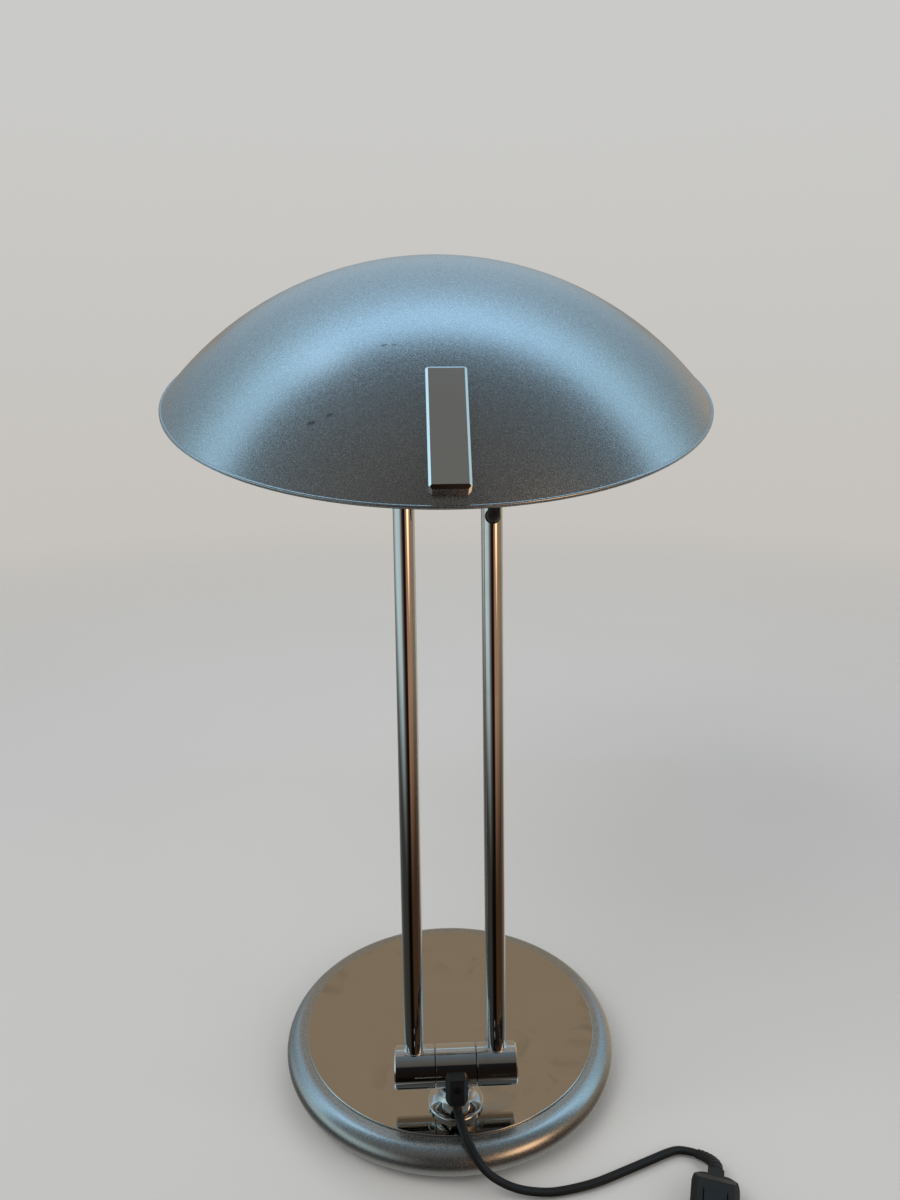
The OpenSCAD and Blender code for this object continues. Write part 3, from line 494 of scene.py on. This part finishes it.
def dress(piece, finish):
    piece.data.materials.clear()
    piece.data.materials.append(finishes[finish])


for name, node in nodes.items():
    dress(node, name if name in finishes else slotOf[name])
for piece in (leadFlex, coilFlex):
    dress(piece, "cord_vinyl")
print("finishes made")

# softened copies of moulded and polished pieces
softening = {"weld": 1e-6, "flat": math.radians(0.6)}


def softened(name, node, body, width, segments=3, sharp=20, merge=True, finish=None):
    # a copy of a CAD node with its flat faces joined and its hard edges rounded
    bm = bmesh.new()
    bm.from_mesh(nodes[node].data)
    bmesh.ops.remove_doubles(bm, verts=bm.verts, dist=softening["weld"])
    if merge:
        bmesh.ops.dissolve_limit(bm, angle_limit=softening["flat"], verts=bm.verts, edges=bm.edges)
    edges = [e for e in bm.edges if len(e.link_faces) == 2 and e.calc_face_angle(0) > math.radians(sharp)]
    bmesh.ops.bevel(bm, geom=edges, offset=width, offset_type="OFFSET", segments=segments, profile=0.5,
                    affect="EDGES", clamp_overlap=True, material=-1)
    piece = addPiece(name, bm, body)
    weighted = piece.modifiers.new("weighted", "WEIGHTED_NORMAL")
    weighted.keep_sharp = False
    dress(piece, finish or slotOf[node])
    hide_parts(node)
    return piece


switchTop = softened("switchTop", "switch_cover", "base", 0.7 * mm)
switchFloor = softened("switchFloor", "switch_base", "base", 0.7 * mm)
rockerKey = softened("rockerKey", "switch_rocker", "rocker", 0.4 * mm, 2)
plugShell = softened("plugShell", "plug_body", "base", 1.2 * mm, 4)
softened("gripBlock", "cord_grip", "stem", 0.5 * mm)
softened("domeBar", "shade_bracket", "head", 0.35 * mm, 3, 25, False, "shade_bracket")

# the sleeved lead, one tube across the upper hinge
sleeve = {"diameter": 6.5 * mm, "flare": 0.8 * mm, "flareEnd": 0.28, "ring": 1.6 * mm, "sides": 20,
          "side": (0.4, -0.5, -0.77)}
armLean, shadeTilt = math.radians(7.5), math.radians(17.5)
hinge, lowerHinge = jointPlace["shade_tilt"], jointPlace["arm_tilt"]
tubeSide = 24.4
# both parts of its route start at the hinge's axis, the first on the leaning arm, the second on the dome
armPart = [(tubeSide, -8.7, -28.5), (tubeSide, -9.5, -28.5), (tubeSide, -10.3, -28.5),
           (tubeSide, -12.9, -27.4), (tubeSide, -14, -24.8), (tubeSide, -14.2, -19.4),
           (tubeSide, -14.9, -13), (tubeSide, -15.8, -6), (tubeSide, -15.7, 3), (tubeSide, -13, 9.6),
           (tubeSide - 0.6, -3, 15.9), (tubeSide - 1.6, 1.6, 15.7), (20.7, 5.4, 14.8), (18.6, 6.7, 14.4)]
headPart = [(14.8, 12.2, 10.2), (11.4, 13.6, 11.2), (8, 17.4, 13.5), (5.4, 22.4, 15.8), (4.5, 27.6, 17),
            (4.2, 31, 17.7), (4, 34.2, 18.4)]


def placed(point, lean):
    return (hinge + Matrix.Rotation(lean, 3, "X") @ Vector(point)) * mm


def sleeveWidth(t):
    # a little fuller where it is pushed over the grommet's neck
    wide = sleeve["diameter"] + sleeve["flare"] * max(0, 1 - t / sleeve["flareEnd"]) ** 2
    return wide, wide, 0


sleeveRoute = [placed(p, -armLean) for p in armPart] + [placed(p, shadeTilt) for p in headPart]
bm = bmesh.new()
sweepTube(bm, evenPath(smoothPath(sleeveRoute, 5), sleeve["ring"]), sleeveWidth, sleeve["sides"],
          Vector(sleeve["side"]))
sleeveTube = addPiece("sleeveTube", bm)
dress(sleeveTube, "black_rubber")
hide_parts("arm_lead", "head_lead")
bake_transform(sleeveTube)

# the strap that holds the coil
tie = {"angle": 62, "width": 7 * mm, "thick": 0.7 * mm, "low": 0.05 * mm, "high": 11.3 * mm, "around": 64,
       "spare": 2.4 * mm, "corner": 0.38}
wound = coil["step"] * coil["turns"] / 2
tieMiddle, tieReach = (coil["outer"] - wound) * mm, wound * mm + tie["spare"]
bm = bmesh.new()
rim = bmesh.ops.create_circle(bm, cap_ends=False, segments=tie["around"], radius=1)["verts"]
for vert in rim:
    # a rounded box round the wound cords
    x, z = (math.copysign(abs(c) ** tie["corner"], c) for c in (vert.co.x, vert.co.y))
    vert.co = (tieMiddle + tieReach * x, -tie["width"] / 2,
               (tie["low"] + tie["high"]) / 2 + (tie["high"] - tie["low"]) / 2 * z)
grown = bmesh.ops.extrude_edge_only(bm, edges=bm.edges[:])
bmesh.ops.translate(bm, verts=[v for v in grown["geom"] if isinstance(v, bmesh.types.BMVert)],
                    vec=(0, tie["width"], 0))
bmesh.ops.recalc_face_normals(bm, faces=bm.faces)
bmesh.ops.solidify(bm, geom=bm.faces[:], thickness=tie["thick"])
tieTurn = Matrix.Rotation(math.radians(tie["angle"]), 3, "Z")
bmesh.ops.rotate(bm, verts=bm.verts, matrix=tieTurn, cent=(0, 0, 0))
bmesh.ops.translate(bm, verts=bm.verts, vec=Vector((coil["centre"][0] * mm, coil["centre"][1] * mm, 0)))
coilTie = addPiece("coilTie", bm, "base")
dress(coilTie, "pad_rubber")

# tapered, ribbed strain reliefs where the cord leaves the switch and the plug
relief = {"long": 21 * mm, "tip": (6.3 * mm, 4.1 * mm), "grow": (2.0 * mm, 2.4 * mm), "ribs": 8,
          "rib": 0.045, "ring": 0.55 * mm, "sides": 28}


def strainRelief(name, line, turnAt):
    # widest at the housing, where the line starts, and slim at its tip
    def girth(t):
        rib = 1 + relief["rib"] * math.cos(math.tau * relief["ribs"] * t)
        wide, high = (tip + grow * (1 - t) for tip, grow in zip(relief["tip"], relief["grow"]))
        return wide * rib, high * rib, turnAt(t * relief["long"] / coilLength)

    bm = bmesh.new()
    sweepTube(bm, evenPath(firstPart(line, relief["long"]), relief["ring"]), girth, relief["sides"], up)
    piece = addPiece(name, bm, "base")
    dress(piece, "black_plastic")
    return piece


reliefIn = strainRelief("reliefIn", leadLine[::-1], lambda t: 0)
reliefOut = strainRelief("reliefOut", coilLine, edgeTurn)
reliefPlug = strainRelief("reliefPlug", coilLine[::-1], lambda t: -edgeTurn(1 - t))

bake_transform(leadFlex)
lengthOf(leadLine)

# beads of plating where the tubes leave the barrels, saddle-shaped as the real joint is
bead = {"tube": 6.0 * mm, "barrel": 12.25 * mm, "thick": 1.1 * mm, "sides": 10, "around": 72,
        "side": (0, 0.13, 0.99)}
for end, centre, way in (("Lower", lowerHinge, 1), ("Upper", hinge, -1)):
    for side, across in (("Left", -tubeSide), ("Right", tubeSide)):
        loop = []
        for k in range(bead["around"] + 1):
            a = math.tau * k / bead["around"]
            deep = bead["tube"] * math.sin(a)
            spot = Vector((across * mm + bead["tube"] * math.cos(a), deep,
                           way * math.sqrt(bead["barrel"] ** 2 - deep ** 2)))
            loop.append(centre * mm + Matrix.Rotation(-armLean, 3, "X") @ spot)
        bm = bmesh.new()
        sweepTube(bm, loop, lambda t: (bead["thick"], bead["thick"], 0), bead["sides"],
                  Vector(bead["side"]), closed=True)
        dress(addPiece("bead%s%s" % (end, side), bm, "arm"), "polished_chrome")
print("beads made")

# a pale floor that fades into the pale background, so that no edge of it shows
floorSet = {"half": 6, "height": -0.0012, "near": 0.55, "far": 2.3, "dullness": 0.8,
            "tones": ((0.74, 0.725, 0.70), (0.77, 0.755, 0.73))}
bm = bmesh.new()
bmesh.ops.create_grid(bm, x_segments=1, y_segments=1, size=floorSet["half"])
bmesh.ops.translate(bm, verts=bm.verts, vec=(0, 0, floorSet["height"]))
floor = addPiece("floor", bm)
paleFloor = Finish("paleFloor", Roughness=floorSet["dullness"])
paleFloor.set("Base Color", paleFloor.blend(paleFloor.noise(3, 2), *(rgb(*tone) for tone in floorSet["tones"])))
clear = paleFloor.add("ShaderNodeBsdfTransparent")
fading = paleFloor.awayFrom((0, 0, 0)).ramp(floorSet["near"], floorSet["far"])
shown = paleFloor.add("ShaderNodeLightPath")
mirrorRay = Maths(paleFloor.tree, shown.outputs["Is Glossy Ray"])
away = paleFloor.add("ShaderNodeMixShader", inputs={0: fading.step("MAXIMUM", mirrorRay),
                                                    1: paleFloor.shader.outputs[0], 2: clear.outputs[0]})
paleFloor.link(away.outputs[0], paleFloor.output.inputs[0])
floor.data.materials.append(paleFloor.material)

# three soft panels, all turned to the lamp's middle
lampAim = Vector((0, 0, 0.25))
lamps = [
    {"name": "keyPanel", "place": (-1.2, -0.6, 1.9), "size": (1.4, 1.2), "power": 13,
     "tone": (1.0, 0.985, 0.96)},
    {"name": "fillPanel", "place": (1.5, -0.9, 1.2), "size": (1.2, 1.2), "power": 6,
     "tone": (1.0, 0.95, 0.89)},
    {"name": "backPanel", "place": (0.3, 1.5, 1.7), "size": (1.6, 0.8), "power": 6,
     "tone": (0.97, 0.985, 1.0)},
]
for lamp in lamps:
    light = bpy.data.lights.new(lamp["name"], "AREA")
    light.shape = "RECTANGLE"
    light.size, light.size_y = lamp["size"]
    light.energy = lamp["power"]
    light.color = lamp["tone"]
    holder = bpy.data.objects.new(lamp["name"], light)
    scene.collection.objects.link(holder)
    holder.location = lamp["place"]
    holder.rotation_euler = (lampAim - Vector(lamp["place"])).to_track_quat("-Z", "Y").to_euler()
    holder.visible_glossy = False  # polished metal shows the room below instead

# the warm lower wall that the chrome disc shows, seen by polished metal alone
card = {"half": (0.30, 0.29), "place": (0, 0.45, 0.292), "tone": (0.36, 0.29, 0.205)}
bm = bmesh.new()
bmesh.ops.create_grid(bm, x_segments=1, y_segments=1, size=1)
bmesh.ops.scale(bm, verts=bm.verts, vec=(card["half"][0], card["half"][1], 1))
bmesh.ops.rotate(bm, verts=bm.verts, matrix=Matrix.Rotation(math.radians(90), 3, "X"), cent=(0, 0, 0))
bmesh.ops.translate(bm, verts=bm.verts, vec=card["place"])
warmWall = addPiece("warmWall", bm)
warmTone = Finish("warmTone", Roughness=1.0)
warmTone.set("Base Color", warmTone.blend(warmTone.noise(2, 1), rgb(0, 0, 0), rgb(0.004, 0.004, 0.004)))
warmTone.set("Emission Color", rgb(*card["tone"]))
warmTone.set("Emission Strength", 1.0)
warmWall.data.materials.append(warmTone.material)
for sight in ("camera", "diffuse", "shadow", "transmission", "volume_scatter"):
    setattr(warmWall, "visible_" + sight, False)

# the room that metal shows: a window on the left, a cool band of sky overhead, warm light on the right
world = bpy.data.worlds.new("studio")
scene.world = world
world.use_nodes = True
room = Graph(world.node_tree, "Generated")
east, north, sky = room.axis("X"), room.axis("Y"), room.axis("Z")
# round the horizon: 0 and 1 are towards the wall, 0.5 is the camera's side, and the left comes before it
aroundStops = [(0.00, (0.34, 0.34, 0.33)), (0.12, (0.27, 0.30, 0.31)), (0.20, (0.50, 0.60, 0.62)),
               (0.25, (0.66, 0.85, 0.88)), (0.36, (0.60, 0.74, 0.75)), (0.40, (0.30, 0.33, 0.33)),
               (0.43, (0.12, 0.09, 0.08)), (0.47, (0.012, 0.008, 0.007)), (0.52, (0.012, 0.008, 0.006)),
               (0.55, (0.44, 0.255, 0.165)), (0.65, (0.48, 0.265, 0.15)), (0.70, (0.30, 0.24, 0.16)),
               (0.78, (0.30, 0.25, 0.165)), (0.87, (0.60, 0.48, 0.35)), (0.95, (0.38, 0.36, 0.33)),
               (1.00, (0.34, 0.34, 0.33))]
# the same below the horizon
lowStops = [(0.00, (0.30, 0.27, 0.22)), (0.10, (0.22, 0.22, 0.21)), (0.18, (0.09, 0.09, 0.085)),
            (0.27, (0.05, 0.048, 0.044)), (0.38, (0.042, 0.042, 0.036)), (0.44, (0.004, 0.003, 0.002)),
            (0.50, (0.004, 0.003, 0.002)), (0.54, (0.062, 0.034, 0.018)), (0.68, (0.066, 0.034, 0.016)),
            (0.78, (0.17, 0.13, 0.10)), (0.90, (0.66, 0.62, 0.54)), (1.00, (0.30, 0.27, 0.22))]
# overhead, from the camera's side (0) to the wall (1): straight above, and towards both sides
overheadStops = [(0.00, (0.010, 0.010, 0.010)), (0.095, (0.012, 0.012, 0.012)),
                 (0.135, (0.105, 0.096, 0.082)), (0.28, (0.127, 0.127, 0.121)),
                 (0.42, (0.130, 0.165, 0.188)), (0.50, (0.143, 0.19, 0.222)), (0.575, (0.22, 0.31, 0.37)),
                 (0.605, (0.92, 1.50, 1.98)), (0.68, (0.96, 1.58, 2.12)), (0.73, (0.68, 1.04, 1.34)),
                 (0.80, (0.50, 0.72, 0.89)), (0.90, (0.50, 0.67, 0.80)), (1.00, (0.54, 0.64, 0.70))]
sidewayStops = [(0.00, (0.030, 0.030, 0.030)), (0.095, (0.035, 0.034, 0.033)),
                (0.135, (0.110, 0.100, 0.085)), (0.28, (0.150, 0.138, 0.125)),
                (0.42, (0.150, 0.175, 0.185)), (0.50, (0.16, 0.195, 0.215)), (0.575, (0.20, 0.27, 0.31)),
                (0.62, (0.74, 1.15, 1.42)), (0.68, (0.78, 1.24, 1.54)), (0.74, (0.54, 0.84, 1.00)),
                (0.80, (0.36, 0.52, 0.60)), (0.88, (0.25, 0.34, 0.39)), (1.00, (0.30, 0.34, 0.36))]
# a warm lamp low on the right, and the lit part of the window high on the left
spots = [{"toward": (0.65, -0.73, 0.22), "wide": 17, "tone": (3.4, 2.1, 1.15)},
         {"toward": (-0.43, 0.18, 0.88), "wide": 9, "tone": (1.5, 2.2, 2.8)}]
# where one part of the room gives way to the next, up or down from the horizon or out to the sides
fades = {"above": (0.12, 0.44), "aside": (0.10, 0.95), "below": (0.10, 0.34), "ground": (0.60, 0.92),
         "wall": (-0.35, 0.55), "soft": (-0.3, 0.6)}
groundTone = (0.34, 0.33, 0.31)
wallTones = ((0.565, 0.54, 0.505), (0.60, 0.605, 0.60))  # what the camera sees, low and high
softTones = ((0.40, 0.385, 0.37), (0.42, 0.44, 0.46))  # what lights the lamp, low and high
bandBow = 0.3  # the bright band bows towards the camera at both sides


def rampOf(value, stops):
    ramp = room.add("ShaderNodeValToRGB", inputs={"Fac": value})
    ramp.color_ramp.interpolation = "EASE"
    while len(ramp.color_ramp.elements) < len(stops):
        ramp.color_ramp.elements.new(0.5)
    for element, (place, tone) in zip(ramp.color_ramp.elements, stops):
        element.position, element.color = place, rgb(*tone)
    return ramp.outputs["Color"]


turn = east.step("ARCTAN2", north * -1) / math.tau + 0.5
bandPlace = (north + bandBow * east * east) * 0.5 + 0.5
overhead = room.blend(east.size().ramp(*fades["aside"]), rampOf(bandPlace, overheadStops),
                      rampOf(bandPlace, sidewayStops))
mirrored = room.blend(sky.ramp(*fades["above"]), rampOf(turn, aroundStops), overhead)
mirrored = room.blend((sky * -1).ramp(*fades["below"]), mirrored, rampOf(turn, lowStops))
mirrored = room.blend((sky * -1).ramp(*fades["ground"]), mirrored, rgb(*groundTone))
for spot in spots:
    facing = room.add("ShaderNodeVectorMath", {"operation": "DOT_PRODUCT"},
                      {0: room.coords, 1: spot["toward"]})
    near = Maths(room.tree, facing.outputs["Value"]).ramp(math.cos(math.radians(spot["wide"])), 1.0)
    mirrored = room.blend(near, mirrored, rgb(*spot["tone"]))
paleWall = room.blend(sky.ramp(*fades["wall"]), *(rgb(*tone) for tone in wallTones))
ambient = room.blend(sky.ramp(*fades["soft"]), *(rgb(*tone) for tone in softTones))
seenBy = room.add("ShaderNodeLightPath")
colour = room.blend(Maths(room.tree, seenBy.outputs["Is Camera Ray"]), ambient, paleWall)
colour = room.blend(Maths(room.tree, seenBy.outputs["Is Glossy Ray"]), colour, mirrored)
background = room.add("ShaderNodeBackground", inputs={"Color": colour, "Strength": 1.0})
worldOutput = room.add("ShaderNodeOutputWorld")
room.link(background.outputs[0], worldOutput.inputs[0])

scene.view_settings.view_transform = "Standard"
print("stage lit")
